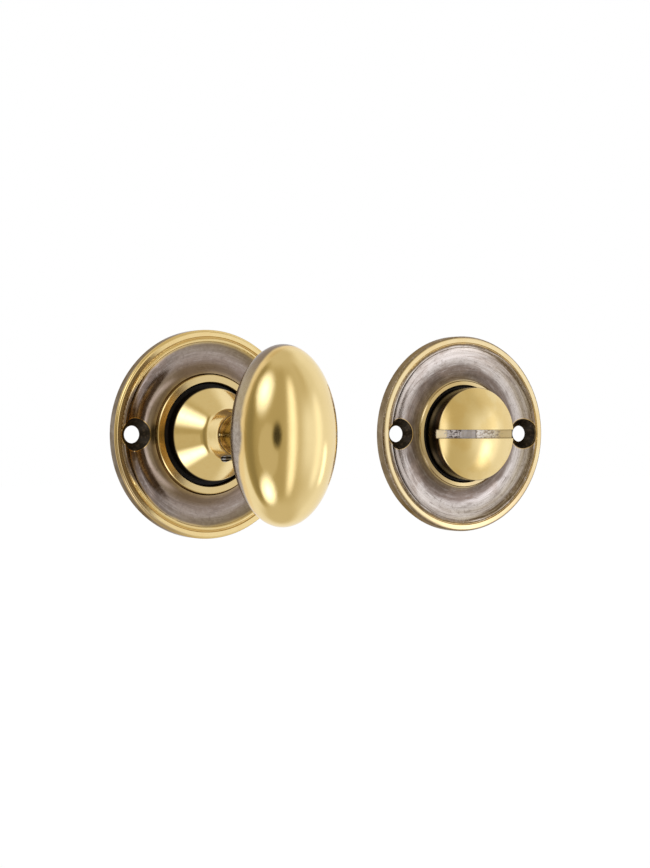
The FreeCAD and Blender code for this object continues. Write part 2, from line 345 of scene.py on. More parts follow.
# %% White behind the lock
WARM_CLOTH, COOL_LAMP = (1.0, 0.87, 0.52), (0.97, 1.0, 1.09)
seen = room.node("Background")
seen.inputs["Color"].default_value = (1.0, 1.0, 1.0, 1.0)
seen.inputs["Strength"].default_value = 1.0
lit = room.node("Background")
room.feed(lit.inputs["Strength"], light)
room.feed(lit.inputs["Color"], room.tint(room.step(light, 0.3, 1.1), WARM_CLOTH, COOL_LAMP))
choice = room.node("MixShader")
room.feed(choice.inputs[0], room.node("LightPath").outputs["Is Camera Ray"])
room.feed(choice.inputs[1], lit.outputs[0])
room.feed(choice.inputs[2], seen.outputs[0])
room.feed(room.node("OutputWorld").inputs["Surface"], choice.outputs[0])
print("world net has", len(world.node_tree.nodes), "nodes")

# %% [markdown]
# Two white cards stand close to the lock: a tall one in front of the knob and a small one in
# front of the release. They are real lamps and not part of the painted room, because they are
# so near that the knob and the dome see them in different directions. A lamp's light adds to
# the room behind it, so each needs only the difference.

# %% White cards
CARD_WHITE = (0.94, 1.0, 1.2)


def white_card(name, at_mm, toward_mm, width_mm, height_mm, level_of_card):
    """An area lamp that looks from one place towards another and fades to its edges:
    its light is the product of a smooth rise and fall across and one upwards."""
    lamp = bpy.data.lights.new(name, "AREA")
    lamp.shape = "RECTANGLE"
    lamp.size, lamp.size_y = width_mm * MM, height_mm * MM
    lamp.energy = level_of_card * np.pi * lamp.size * lamp.size_y
    lamp.color = CARD_WHITE
    lamp.use_nodes = True
    cloth = Recipe(lamp.node_tree)
    across, upward, _ = cloth.split(cloth.node("NewGeometry").outputs["Parametric"])
    fade = cloth.times(cloth.band(across, 0.25, 0.75, 0.5), cloth.band(upward, 0.15, 0.85, 0.3))
    shine = cloth.node("Emission")
    cloth.feed(shine.inputs["Strength"], fade)
    cloth.feed(cloth.node("OutputLight").inputs["Surface"], shine.outputs[0])
    card = bpy.data.objects.new(name, lamp)
    bpy.context.scene.collection.objects.link(card)
    facing = np.array(at_mm) - np.array(toward_mm)
    facing = facing / np.linalg.norm(facing)
    wide = np.cross([0.0, 0.0, 1.0], facing)
    wide = wide / np.linalg.norm(wide)
    stand = np.eye(4)
    stand[:3, 0], stand[:3, 1], stand[:3, 2] = wide, np.cross(facing, wide), facing
    stand[:3, 3] = np.array(at_mm) * MM
    card.matrix_world = Matrix(stand.tolist())
    card.visible_camera = False
    print(name, "gives", round(lamp.energy, 4), "W")


white_card("tall_card", (-5.0, -211.0, -6.0), (-5.0, -50.0, -6.0), 82.0, 480.0, 0.92)
white_card("small_card", (150.0, -90.0, -44.0), (79.4, -9.0, 0.0), 56.0, 84.0, 1.1)

# %% [markdown]
# The floor is a plain pale sheet far enough below the lock to keep only a faint shadow. It is
# as white as the room to the camera, and the metal looks through it into the room, because
# the photographed lock stood free of any table.

# %% Floor
FLOOR_Z = -0.118
FLOOR_REACH = 3.0
PAPER = 0.86
PAPER_GLOW = 1.04
GLOW_SHARE = 0.9

corners = np.array([[-1, -1], [1, -1], [1, 1], [-1, 1]]) * FLOOR_REACH
floor_mesh = bpy.data.meshes.new("floor")
floor_mesh.from_pydata([(x, y, FLOOR_Z) for x, y in corners.tolist()], [], [(0, 1, 2, 3)])
floor = bpy.data.objects.new("floor", floor_mesh)
bpy.context.scene.collection.objects.link(floor)
floor.visible_glossy = False
paper = bpy.data.materials.new("pale_floor")
paper.use_nodes = True
net = Recipe(paper.node_tree)
matte = net.node("BsdfDiffuse")
matte.inputs["Color"].default_value = (PAPER, PAPER, PAPER, 1.0)
glow = net.node("Emission")
glow.inputs["Strength"].default_value = PAPER_GLOW
path = net.node("LightPath")
direct = net.larger(path.outputs["Is Camera Ray"], path.outputs["Is Transmission Ray"])
white = net.node("MixShader")
net.feed(white.inputs[0], net.times(direct, GLOW_SHARE))
net.feed(white.inputs[1], matte.outputs[0])
net.feed(white.inputs[2], glow.outputs[0])
under = net.node("MixShader")
net.feed(under.inputs[0], net.node("NewGeometry").outputs["Backfacing"])
net.feed(under.inputs[1], white.outputs[0])
net.feed(under.inputs[2], net.node("BsdfTransparent").outputs[0])
net.feed(net.node("OutputMaterial").inputs["Surface"], under.outputs[0])
floor_mesh.materials.append(paper)
print("floor lies at z =", FLOOR_Z)

# %% [markdown]
# ## One shader for every finish
#
# Brass, steel and nylon differ in numbers and patterns, not in kind, so one call ends every
# recipe in the Principled shader. What changes over a piece is linked: colour, roughness and
# the height of its grain. What is the same all over is set on the shader's own socket, where
# an export can read it.


# %% Surface shader shared by all finishes
def surface(recipe, colour, metallic, roughness, height, bump_mm, edge=None, specular=0.5):
    """Ends a recipe in the main shader. The bump is as high as the height times bump_mm.
    A metal's edge is its tint at a flat angle, where old skin stays brown and clean brass
    turns white. Specular is for plastic: 0.5 is a plain gloss, less is duller."""
    shader = recipe.node("BsdfPrincipled")
    recipe.feed(shader.inputs["Base Color"], colour)
    recipe.feed(shader.inputs["Metallic"], metallic)
    recipe.feed(shader.inputs["Roughness"], roughness)
    shader.inputs["Specular IOR Level"].default_value = specular
    if edge is not None:
        shader.inputs["Specular Tint"].default_value = (*edge, 1.0)
    bump = recipe.node("Bump")
    bump.inputs["Strength"].default_value = 1.0
    bump.inputs["Distance"].default_value = bump_mm * MM
    recipe.feed(bump.inputs["Height"], height)
    recipe.feed(shader.inputs["Normal"], bump.outputs[0])
    recipe.feed(recipe.node("OutputMaterial").inputs["Surface"], shader.outputs[0])


def new_material(name):
    made = bpy.data.materials.new(name)
    made.use_nodes = True
    return made, Recipe(made.node_tree)


def dress(node_name, material):
    """Puts one material on a CAD node."""
    for slot in nodes[node_name].material_slots:
        slot.material = material
    print(node_name, "wears", material.name)


BRASS = (0.87, 0.67, 0.31)
BRASS_WARM = (0.80, 0.53, 0.19)
BRASS_DEEP = (0.60, 0.38, 0.11)
BRASS_HAZE = (0.80, 0.60, 0.27)
BRASS_DULL = (0.42, 0.31, 0.19)
SOOT = (0.030, 0.024, 0.018)
print("clean brass reflects", BRASS)

# %% [markdown]
# ## Aged roses
#
# A bath darkens the turned rose, and then a wheel polishes its high places bright again: the
# land of the rim and the ring of the collar. The hollow field between them keeps its
# brown-grey skin. The skin could be painted on an unwrapped picture, but it lies in rings, so
# a row of tones by radius says it in a few numbers, and a noise moves each border a little.

# %% Sizes of a rose and its ring tones
ROSE_R = 26.5
COLLAR_BORE_R = 13.15
COLLAR_LIP_R, COLLAR_LIP_WIDTH = 13.3, 1.2
SCREW_AT = 20.5
SCREW_SINK_R = 4.1
TURN_COLLAR_DEPTH, RELEASE_COLLAR_DEPTH = 4.1, 3.0
SMEAR_SCALE = (0.16, 1.1, 1.1)


def ring_tones(net, radius, low, high, stops):
    """A colour for each radius: a row of (radius, colour) stops from the axis outwards."""
    ramp = net.node("ValToRGB")
    bar = ramp.color_ramp
    bar.interpolation = "EASE"
    while len(bar.elements) < len(stops):
        bar.elements.new(0.5)
    for element, (at, colour) in zip(bar.elements, stops):
        element.position = (at - low) / (high - low)
        element.color = (*colour, 1.0)
    net.feed(ramp.inputs[0], net.ramp(radius, low, high, 0, 1))
    return ramp.outputs[0]


print("a rose is", 2 * ROSE_R, "mm across")

# %% [markdown]
# The skin of the real rose isn't even: clouds and flecks from the bath, smears from the cloth
# and fine strokes from the lathe lie over its rings. Each is one noise, and a soft step picks
# the places where it darkens or lightens the skin. Shares of left, right and lower left mark
# where one side is darker or lighter; on the left they carry a painted reflection of the knob's
# back and a painted highlight arc. All of it is one function, because both roses were
# made in the same way and differ only in numbers.

# %% Grain of a rose
def rose_grain(net, centre_x):
    """The places of a rose with its four noises, a radius that wobbles by a quarter of a
    millimetre with the clouds, and soft shares of its left, right and lower left."""
    at = turned(net, centre_x)
    at.cloud = net.noise(at.here, 0.13, 4.0, 0.55, 0.5)
    at.spots = net.noise(at.here, 1.2, 5.0, 0.65)
    at.strokes = net.noise(at.lathe, 1.0, 5.0, 0.62)
    # Smears are broader than strokes: their noise changes six times more slowly with radius.
    at.smears = net.noise(net.mapping(at.lathe, SMEAR_SCALE), 1.0, 3.0, 0.55, 0.6)
    at.worn_radius = net.plus(at.radius, net.ramp(at.cloud, 0.3, 0.7, -0.25, 0.25))
    at.leftward = net.step(at.x, -6.0, -18.0)
    at.rightward = net.step(at.x, -4.0, 16.0)
    at.low_left = net.times(net.step(at.x, -2.0, -12.0), net.step(at.z, 8.0, -8.0))
    return at


print("a rose has clouds, spots, strokes and smears")

# %% [markdown]
# The wheel touches only what stands proud, so the polish is a share that depends on radius
# and depth: the rim from the end of the skin outwards, and the front of the collar. It could
# be read from the slope of the surface, but then the hollow's border would follow the facets.

# %% Where the wheel polished a rose
def polished_places(net, at, collar_depth, look):
    """Shares of the collar, of all polished places, and of the places no wheel reached: the
    outer wall and the back. The polish is the larger of rim and collar, less the latter."""
    radius, depth = at.radius, at.depth
    near_level = net.times(at.leftward, net.step(net.math("ABSOLUTE", at.z), 16.0, 8.0))
    shrunk = net.less(at.worn_radius, net.times(near_level, look["shrink"]))
    rim = net.step(shrunk, look["skin_to"], look["bright_from"])
    rim = net.times(rim, net.step(radius, look["bright_to"] + 0.3, look["bright_to"]))
    collar = net.band(radius, COLLAR_BORE_R - 1.0, look["collar_r"] + 0.1, 0.6)
    collar = net.times(collar, net.step(depth, collar_depth - 1.6, collar_depth - 0.5))
    polish = net.larger(rim, collar)
    outside = net.step(radius, ROSE_R - 0.16, ROSE_R - 0.06)
    outside = net.times(outside, net.step(depth, 2.55, 2.25))
    behind = net.step(depth, 0.35, 0.1)
    unpolished = net.larger(outside, behind)
    polish = net.times(polish, net.less(1.0, unpolished))
    return collar, polish, unpolished


print("the collars stand", TURN_COLLAR_DEPTH, "and", RELEASE_COLLAR_DEPTH, "mm proud")

# %% [markdown]
# The skin is the oldest layer, so it comes first: a tone for each ring, then broad shades,
# clouds, flecks, smears and strokes, each laid over the last one with its own share.

# %% Skin of a rose
def rose_skin(net, at, unpolished, look):
    """Tones by radius, a painted reflection and highlight on the left, brown clouds, and pale and
    dark strokes along the circle.
    """
    z, radius, worn_radius, cloud, spots = at.z, at.radius, at.worn_radius, at.cloud, at.spots
    smears, strokes = at.smears, at.strokes
    leftward, rightward, low_left = at.leftward, at.rightward, at.low_left
    # The rings of skin are not quite round: on the right they sit nearer to the collar.
    drawn = net.plus(worn_radius, net.times(rightward, look["drawn_in"]))
    drawn = net.plus(drawn, net.times(net.step(z, -6.0, -18.0), look["drawn_in"] * 0.4))
    skin = ring_tones(net, drawn, 13.0, 27.0, look["tones"])
    shade = net.times(net.band(radius, 21.2, 24.2, 1.2), rightward)
    skin = net.tint(net.times(shade, look["right"]), skin, look["dark"])
    beside_rim = net.times(net.step(radius, 21.4, 23.2), low_left)
    skin = net.tint(net.times(beside_rim, look["lip_dull"] * 0.7), skin, look["dark"])
    # Painted reflection: on the left the field is painted darker where it mirrors the knob's dark
    # back, darkest between 20.2 and 22.4 mm.
    painted_knob_reflection = net.times(net.band(worn_radius, 19.9, 24.6, 1.2), leftward)
    skin = net.tint(net.times(painted_knob_reflection, look["left"] * 1.2), skin, look["dark"])
    middle = net.times(net.band(worn_radius, 20.2, 22.4, 1.0), leftward)
    skin = net.tint(net.times(middle, look["left"]), skin, (0.085, 0.06, 0.045))
    # Painted highlight: a pale arc on the left of the field near the collar.
    painted_highlight_arc = net.times(net.band(worn_radius, 16.5, 18.8, 0.7), leftward)
    skin = net.tint(net.times(painted_highlight_arc, look["left"] * 0.6), skin, (0.56, 0.47, 0.39))
    skin = net.tint(net.times(net.step(cloud, 0.46, 0.68), 0.5), skin, look["cloud"])
    open_field = net.ramp(radius, 17.6, 19.6, 0.25, 1.0)
    flecks = net.times(net.step(spots, 0.5, 0.74), open_field)
    skin = net.tint(net.times(flecks, 0.32), skin, look["pale"])
    skin = net.tint(net.times(net.step(spots, 0.47, 0.28), 0.45), skin, look["dark"])
    smeared = net.times(net.step(smears, 0.54, 0.68), open_field)
    skin = net.tint(net.times(smeared, look["smears"]), skin, look["pale"])
    smeared = net.times(net.step(smears, 0.46, 0.33), look["smears"])
    skin = net.tint(smeared, skin, look["dark"])
    stroked = net.times(net.step(strokes, 0.53, 0.70), open_field)
    skin = net.tint(net.times(stroked, look["strokes"]), skin, look["pale"])
    stroked = net.times(net.step(strokes, 0.47, 0.30), look["strokes"])
    skin = net.tint(stroked, skin, look["dark"])
    wall = net.tint(net.step(cloud, 0.38, 0.66), look["wall"], look["wall_pale"])
    return net.tint(unpolished, skin, wall)


print("the skin is laid from rings to strokes")

# %% [markdown]
# Polished brass is never quite clean: a little warm skin stays beside the bead and in the
# groove, and the brass is duller towards its lower edges. These are tints of the brass
# and not a second material, so that their borders stay soft.

# %% Polished brass of a rose
def rose_brass(net, at, collar, look):
    """Brass with a little of the warm skin left beside the bead and in the groove."""
    x, z, radius, depth, cloud = at.x, at.z, at.radius, at.depth, at.cloud
    leftward, low_left = at.leftward, at.low_left
    clouded = net.times(net.step(cloud, 0.4, 0.7), 0.35)
    brass = net.tint(clouded, look["brass"], BRASS_WARM)
    inside_land = net.times(leftward, net.step(radius, 25.1, 24.7))
    brass = net.tint(net.times(inside_land, look["left"] * 0.4), brass, BRASS_DEEP)
    outer_edge = net.times(low_left, net.step(radius, 25.5, 25.9))
    brass = net.tint(net.times(outer_edge, 0.7), brass, BRASS_DULL)
    dull_lip = net.times(low_left, collar, look["lip_dull"])
    brass = net.tint(dull_lip, brass, BRASS_DULL)
    low_right = net.times(net.step(x, -4.0, 12.0), net.step(z, -4.0, -16.0))
    brass = net.tint(net.times(low_right, look["low_right"]), brass, (0.60, 0.44, 0.23))
    brass = net.tint(net.times(collar, look["collar_dull"]), brass, (0.50, 0.36, 0.16))
    warm = net.band(radius, 24.42, 24.9, 0.22)
    brass = net.tint(net.times(warm, 0.75), brass, BRASS_DEEP)
    warm = net.band(depth, 2.25, 2.75, 0.3)
    warm = net.times(warm, net.step(radius, 25.8, 26.2), 0.5)
    brass = net.tint(warm, brass, BRASS_DEEP)
    return brass


print("warm brass reflects", BRASS_WARM)

# %% [markdown]
# The whole finish puts the brass over the skin where the wheel has been. Then come the
# countersinks, which hold the black of the bath and have a thin bright edge where they are
# rubbed, the bore of the collar, painted black as shade, and the gloss and height of the grain.

# %% Aged brass of a rose
def aged_rose(name, centre_x, collar_depth, look):
    """Skin by radius, clouds and strokes over it, polish on rim and collar, soot in the
    countersinks and painted shade in the collar's bore.
    """
    made, net = new_material(name)
    at = rose_grain(net, centre_x)
    z, radius, depth, spots, strokes = at.z, at.radius, at.depth, at.spots, at.strokes
    collar, polish, unpolished = polished_places(net, at, collar_depth, look)
    skin = rose_skin(net, at, unpolished, look)
    colour = net.tint(polish, skin, rose_brass(net, at, collar, look))
    off = net.less(net.math("ABSOLUTE", at.x), SCREW_AT)
    from_screw = net.length(off, z)
    sink = net.step(from_screw, SCREW_SINK_R + 0.04, SCREW_SINK_R - 0.04)
    lip = net.band(from_screw, SCREW_SINK_R - 0.05, SCREW_SINK_R + 0.16, 0.12)
    # Painted shade: the bore inside the collar lies in shadow and is painted black.
    painted_bore_shade = net.step(radius, COLLAR_BORE_R + 0.08, COLLAR_BORE_R + 0.02)
    painted_bore_shade = net.times(painted_bore_shade, net.step(depth, collar_depth - 0.15, collar_depth - 0.6))
    soot_and_painted_shade = net.larger(sink, painted_bore_shade)
    hole = net.tint(net.step(spots, 0.45, 0.72), SOOT, (0.085, 0.062, 0.042))
    colour = net.tint(net.times(lip, 0.7), colour, BRASS_WARM)
    colour = net.tint(soot_and_painted_shade, colour, hole)

    skin_gloss = net.ramp(spots, 0.3, 0.7, *look["gloss"])
    outer_field = net.step(radius, 20.4, 22.2)
    skin_gloss = net.plus(skin_gloss, net.times(outer_field, look["outer_blur"]))
    gloss = net.mix(polish, skin_gloss, net.ramp(strokes, 0.3, 0.7, 0.13, 0.21))
    gloss = net.mix(soot_and_painted_shade, gloss, 0.42)
    rings = net.times(strokes, net.mix(polish, 0.8, 0.35))
    relief = net.plus(rings, net.times(spots, net.mix(polish, 0.7, 0.06)))
    # Buffing has left the field flatter before the bead, and the lip of the collar rounded.
    dip = net.times(net.step(radius, 21.4, 23.4), look["flatten"] / look["grain"])
    relief = net.less(relief, dip)
    fall = net.larger(net.less(radius, COLLAR_LIP_R), 0.0)
    fall = net.math("MINIMUM", fall, COLLAR_LIP_WIDTH)
    relief = net.less(relief, net.times(fall, look["lip_slope"] / look["grain"]))
    surface(net, colour, 1.0, gloss, relief, look["grain"], edge=(0.50, 0.42, 0.33))
    return made


print("the rose finish takes a look of its own for each half")

# %% [markdown]
# The photograph shows two roses of one pattern that have worn apart: the turn's is browner,
# with a painted dark reflection of the knob on its left, and the release's is greyer, with a
# worn collar. Each gets its numbers.
# The skin ends at skin_to, and the polish is full from bright_from to bright_to. Shares from
# 0 to 1 say how much left, right, smears, strokes, collar_dull, lip_dull and low_right count.
# Lengths in millimetres are shrink, drawn_in, flatten, grain and the collar's radius, and
# lip_slope is a fall for each millimetre across the lip.

# %% Looks of the two roses
TURN_LOOK = {
    "skin_to": 22.7, "bright_from": 23.9, "bright_to": 26.6, "collar_r": 15.35,
    "brass": BRASS, "left": 0.65, "right": 0.0, "shrink": 1.4, "drawn_in": 0.0, "smears": 0.30,
    "outer_blur": 0.0, "collar_dull": 0.45, "flatten": 0.05, "lip_slope": 0.0,
    "lip_dull": 0.0, "low_right": 0.0,
    "tones": [(13.0, (0.42, 0.30, 0.13)), (15.4, (0.38, 0.27, 0.15)), (16.6, (0.22, 0.155, 0.105)),
              (18.6, (0.26, 0.195, 0.15)), (20.4, (0.345, 0.275, 0.22)), (22.0, (0.32, 0.26, 0.21)),
              (23.6, (0.30, 0.23, 0.16))],
    "cloud": (0.25, 0.175, 0.13), "pale": (0.52, 0.45, 0.40), "dark": (0.15, 0.11, 0.085),
    "strokes": 0.34, "gloss": (0.09, 0.17), "grain": 0.004,
    "wall": (0.21, 0.17, 0.125), "wall_pale": (0.36, 0.31, 0.25),
}
RELEASE_LOOK = {
    "skin_to": 24.3, "bright_from": 24.9, "bright_to": 25.9, "collar_r": 14.55,
    "brass": (0.89, 0.71, 0.39), "left": 0.0, "right": 0.45, "shrink": 0.0, "drawn_in": 1.3,
    "smears": 0.38, "outer_blur": 0.06, "collar_dull": 0.0, "flatten": 0.17, "lip_slope": 0.34,
    "lip_dull": 0.7, "low_right": 0.8,
    "tones": [(13.0, (0.50, 0.36, 0.17)), (15.0, (0.20, 0.145, 0.09)), (16.6, (0.13, 0.095, 0.07)),
              (18.3, (0.18, 0.135, 0.105)), (20.2, (0.59, 0.515, 0.445)), (23.9, (0.72, 0.63, 0.54)),
              (24.4, (0.24, 0.17, 0.10)), (25.0, (0.30, 0.215, 0.11))],
    "cloud": (0.36, 0.265, 0.20), "pale": (0.80, 0.725, 0.65), "dark": (0.12, 0.08, 0.055),
    "strokes": 0.52, "gloss": (0.13, 0.24), "grain": 0.008,
    "wall": (0.20, 0.145, 0.085), "wall_pale": (0.34, 0.26, 0.16),
}
dress("turn_rose", aged_rose("aged_rose_turn", 0.0, TURN_COLLAR_DEPTH, TURN_LOOK))
release_finish = aged_rose("aged_rose_release", SPACING, RELEASE_COLLAR_DEPTH, RELEASE_LOOK)
dress("release_rose", release_finish)

# %% [markdown]
# ## Knob
#
# The knob's face is polished like a mirror, and its back keeps the grey skin of the bath,
# because a buffing wheel runs over the crown and never reaches behind the widest place. Far
# back, where it faces the rose, the skin is painted darker as shade. The border is not level:
# the wheel has reached further round on the lower half.

# %% Polished and aged brass of the knob
KNOB_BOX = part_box("oval_knob")
HALF_W = (KNOB_BOX[1].x - KNOB_BOX[0].x) / 2 / MM
HALF_H = (KNOB_BOX[1].z - KNOB_BOX[0].z) / 2 / MM
MIDDLE = 39.5
CROWN = 12.0


def knob_brass():
    """Skin where the angle up from the widest place is below a border that depends on z."""
    made, net = new_material("knob_brass")
    at = turned(net)
    here, z = at.here, at.z
    share = net.length(net.math("DIVIDE", at.x, HALF_W), net.math("DIVIDE", z, HALF_H))
    rise = net.math("DIVIDE", net.less(at.depth, MIDDLE), CROWN)
    turn = net.times(net.math("ARCTAN2", rise, share), DEGREES)
    below = net.larger(net.less(-1.0, z), 0.0)
    above_middle = net.larger(z, 0.0)
    border = net.less(13.5, below)
    border = net.less(border, net.times(above_middle, 0.10))
    wobble = net.ramp(net.noise(here, 0.14, 4.0), 0.3, 0.7, -2.0, 2.0)
    past = net.plus(net.less(turn, border), wobble)
    polish = net.step(past, -3.0, 2.5)
    spots = net.noise(here, 0.9, 5.0, 0.6)
    haze = net.noise(here, 0.1, 3.0, 0.5)
    skin = net.tint(net.step(spots, 0.35, 0.65), (0.30, 0.24, 0.18), (0.44, 0.37, 0.29))
    skin = net.tint(net.times(net.step(z, 0.0, 9.0), 0.65), skin, (0.43, 0.32, 0.15))
    brown = net.larger(net.step(turn, -1.0, -6.0), net.step(z, 10.0, 20.0))
    skin = net.tint(net.times(brown, 0.85), skin, (0.20, 0.135, 0.085))
    # Painted shade: far back, facing the rose, the skin is painted darker as it lies in shadow.
    skin = net.tint(net.step(turn, -12.0, -24.0), skin, (0.16, 0.115, 0.07))
    near_foot = net.times(net.step(share, 0.62, 0.45), net.step(turn, -30.0, -40.0))
    skin = net.tint(near_foot, skin, (0.66, 0.45, 0.17))
    bright = net.tint(net.times(net.step(haze, 0.45, 0.7), 0.3), BRASS, BRASS_HAZE)
    rubbed = net.band(past, -2.0, 7.0, 5.0)
    bright = net.tint(net.times(rubbed, 0.6), bright, BRASS_WARM)
    colour = net.tint(polish, skin, bright)
    skin_gloss = net.ramp(spots, 0.3, 0.7, 0.22, 0.32)
    gloss = net.mix(polish, skin_gloss, net.ramp(haze, 0.3, 0.7, 0.10, 0.15))
    gloss = net.mix(near_foot, gloss, 0.16)
    relief = net.times(spots, net.mix(net.larger(polish, near_foot), 1.0, 0.05))
    surface(net, colour, 1.0, gloss, relief, 0.002)
    return made


dress("oval_knob", knob_brass())

# %% [markdown]
# ## Flared stem
#
# The stem is turned and polished on the lathe, so its only grain is fine rings. The rim that
# runs inside the collar keeps the bath's black on its side. The hole of the grub screw is
# painted dark as shade, with painted glints on the crests of its thread.

# %% Turned brass of the stem
GRUB_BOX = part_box("grub_screw")
GRUB_DEPTH = float(-(GRUB_BOX[0].y + GRUB_BOX[1].y) / 2 / MM)
GRUB_THREAD_PITCH = 0.7
GRUB_R = float((GRUB_BOX[1].x - GRUB_BOX[0].x) / 2 / MM)


def stem_brass():
    """Bright outside, black on the rim's side, and inside the grub screw's hole painted shade with
    painted glints on its thread.
    """
    made, net = new_material("stem_brass")
    at = turned(net)
    x, z, radius, depth = at.x, at.z, at.radius, at.depth
    spots = net.noise(at.here, 0.9, 4.0, 0.6)
    strokes = net.noise(at.lathe, 1.4, 4.0, 0.6)
    wall = net.times(net.step(depth, 6.2, 5.9), net.step(radius, 5.2, 5.6))
    behind = net.step(depth, 2.9, 2.5)
    from_hole = net.length(net.less(depth, GRUB_DEPTH), x)
    hole = net.step(from_hole, GRUB_R + 0.22, GRUB_R + 0.1)
    hole = net.times(hole, net.step(z, -1.0, -2.0))
    dark = net.larger(net.larger(wall, behind), hole)
    colour = net.tint(net.times(net.step(spots, 0.45, 0.8), 0.3), BRASS, BRASS_WARM)
    colour = net.tint(wall, colour, (0.07, 0.05, 0.03))
    colour = net.tint(behind, colour, (0.22, 0.15, 0.08))
    # Painted shade and highlight: the hole is painted near black, with pale glints on the crests of
    # a thread.
    wave = net.math("SINE", net.times(z, 2 * np.pi / GRUB_THREAD_PITCH))
    hole_shade_and_thread_glints = net.tint(net.step(wave, 0.1, 0.9), (0.035, 0.026, 0.018), (0.50, 0.47, 0.42))
    colour = net.tint(hole, colour, hole_shade_and_thread_glints)
    gloss = net.mix(dark, net.ramp(strokes, 0.3, 0.7, 0.08, 0.14), 0.38)
    surface(net, colour, 1.0, gloss, strokes, 0.0008)
    return made


dress("turn_stem", stem_brass())

# %% [markdown]
# ## Release drum
#
# The dome is polished with the rest, but its saw-cut slot is narrow: the wheel never reached
# its floor, so the middle of the floor keeps a mottled skin, and the corners along the walls
# stay black. The side of the drum is dark from the bath too, and its lower part, deep in the
# gap by the collar, is painted black as shade.

# %% Polished dome and aged slot
SLOT_HALF = 1.2
SLOT_LOW = 5.0
SAW_R = 30.0


def drum_brass():
    """Bright dome, dark side painted black as shade low in the gap, and a slot aged between two
    places of x: its floor rises from its lowest depth by x squared over twice the saw's radius."""
    made, net = new_material("drum_brass")
    at = turned(net, SPACING)
    here, x, z, radius, depth = at.here, at.x, at.z, at.radius, at.depth
    spots = net.noise(here, 1.0, 5.0, 0.6)
    fine = net.noise(here, 2.6, 4.0, 0.65)
    strokes = net.noise(at.lathe, 1.2, 4.0, 0.6)
    haze = net.noise(here, 0.15, 3.0)
    side = net.times(net.step(depth, 8.85, 8.5), net.step(radius, 12.3, 12.45))
    # Painted shade: deep in the gap by the collar the side is painted black over its dark patina.
    soot_and_painted_shade = net.times(side, net.step(depth, 7.7, 6.7))
    beside = net.math("ABSOLUTE", z)
    in_slot = net.step(beside, SLOT_HALF + 0.06, SLOT_HALF + 0.01)
    in_slot = net.times(in_slot, net.step(depth, 11.8, 11.2))
    arch = net.times(net.times(x, x), 0.5 / SAW_R)
    over_floor = net.less(net.less(depth, SLOT_LOW), arch)
    low = net.times(in_slot, net.step(over_floor, 1.5, 0.1))
    low = net.times(low, net.step(over_floor, -0.5, -0.2))
    along = net.join(net.times(x, 0.8), 0.0, net.times(z, 1.5))
    marks = net.noise(along, 1.3, 4.0, 0.62, 0.4)
    moved = net.plus(x, net.ramp(marks, 0.3, 0.7, -1.2, 1.2))
    middle = net.band(moved, -8.2, 9.0, 1.6)
    aged = net.times(low, middle)
    corner = net.times(low, net.step(beside, SLOT_HALF - 0.26, SLOT_HALF - 0.04))
    bright = net.tint(net.times(net.step(haze, 0.42, 0.62), 0.6), BRASS, (0.80, 0.57, 0.21))
    pale = net.tint(net.step(moved, -3.0, 2.5), (0.50, 0.45, 0.41), (0.97, 0.92, 0.87))
    murky = net.tint(net.step(moved, -3.0, 2.0), (0.07, 0.05, 0.04), (0.50, 0.42, 0.35))
    skin = net.tint(net.step(marks, 0.42, 0.55), murky, pale)
    dark_side = net.tint(net.step(spots, 0.4, 0.65), (0.09, 0.058, 0.03), (0.17, 0.11, 0.055))
    colour = net.tint(side, bright, dark_side)
    colour = net.tint(soot_and_painted_shade, colour, SOOT)
    colour = net.tint(net.times(low, 0.8), colour, (0.88, 0.75, 0.50))
    colour = net.tint(aged, colour, skin)
    colour = net.tint(net.times(corner, 0.8), colour, (0.12, 0.08, 0.05))
    gloss = net.mix(low, net.ramp(haze, 0.3, 0.7, 0.14, 0.22), 0.30)
    gloss = net.mix(side, gloss, 0.20)
    mottle = net.times(fine, net.mix(aged, 0.03, 1.0))
    relief = net.plus(mottle, net.times(strokes, 0.08))
    surface(net, colour, 1.0, gloss, relief, 0.008)
    return made


dress("release_drum", drum_brass())

# %% [markdown]
# ## Steel and nylon
#
# The hidden pieces are plain stock: a zinc-plated spindle, washers and plug, blued spring
# steel for the waved washers and clips, and black nylon for the bushes.

# %% Steel and nylon
SCRATCH_SCALE = (6.0, 0.4, 6.0)


def plain_steel(name, colour, dark, low, high, grain):
    """Steel whose fine scratches run along the depth, lighter and darker by a cloud."""
    made, net = new_material(name)
    here = places(net)
    lines = net.noise(net.mapping(here, SCRATCH_SCALE), 1.0, 4.0, 0.6)
    cloud = net.noise(here, 0.5, 4.0, 0.6)
    tone = net.tint(net.step(cloud, 0.35, 0.7), colour, dark)
    surface(net, tone, 1.0, net.ramp(cloud, 0.3, 0.7, low, high), lines, grain)
    return made


plated = plain_steel("plated_steel", (0.62, 0.60, 0.57), (0.42, 0.40, 0.37), 0.22, 0.38, 0.004)
blued = plain_steel("spring_steel", (0.20, 0.19, 0.19), (0.11, 0.10, 0.10), 0.25, 0.42, 0.003)
plug_steel = plain_steel("plug_steel", (0.44, 0.39, 0.35), (0.34, 0.30, 0.26), 0.25, 0.36, 0.004)
for name in ("spindle", "turn_washer", "release_washer"):
    dress(name, plated)
for name in ("turn_spring", "release_spring", "turn_clip", "release_clip"):
    dress(name, blued)
dress("release_plug", plug_steel)

made, net = new_material("black_nylon")
here = places(net)
grain = net.noise(here, 4.0, 3.0, 0.6)
cloud = net.noise(here, 0.4)
tone = net.tint(net.step(cloud, 0.35, 0.7), (0.013, 0.010, 0.008), (0.022, 0.017, 0.012))
surface(net, tone, 0.0, net.ramp(grain, 0.3, 0.7, 0.42, 0.58), grain, 0.01, specular=0.2)
for name in ("turn_bush", "release_bush"):
    dress(name, made)

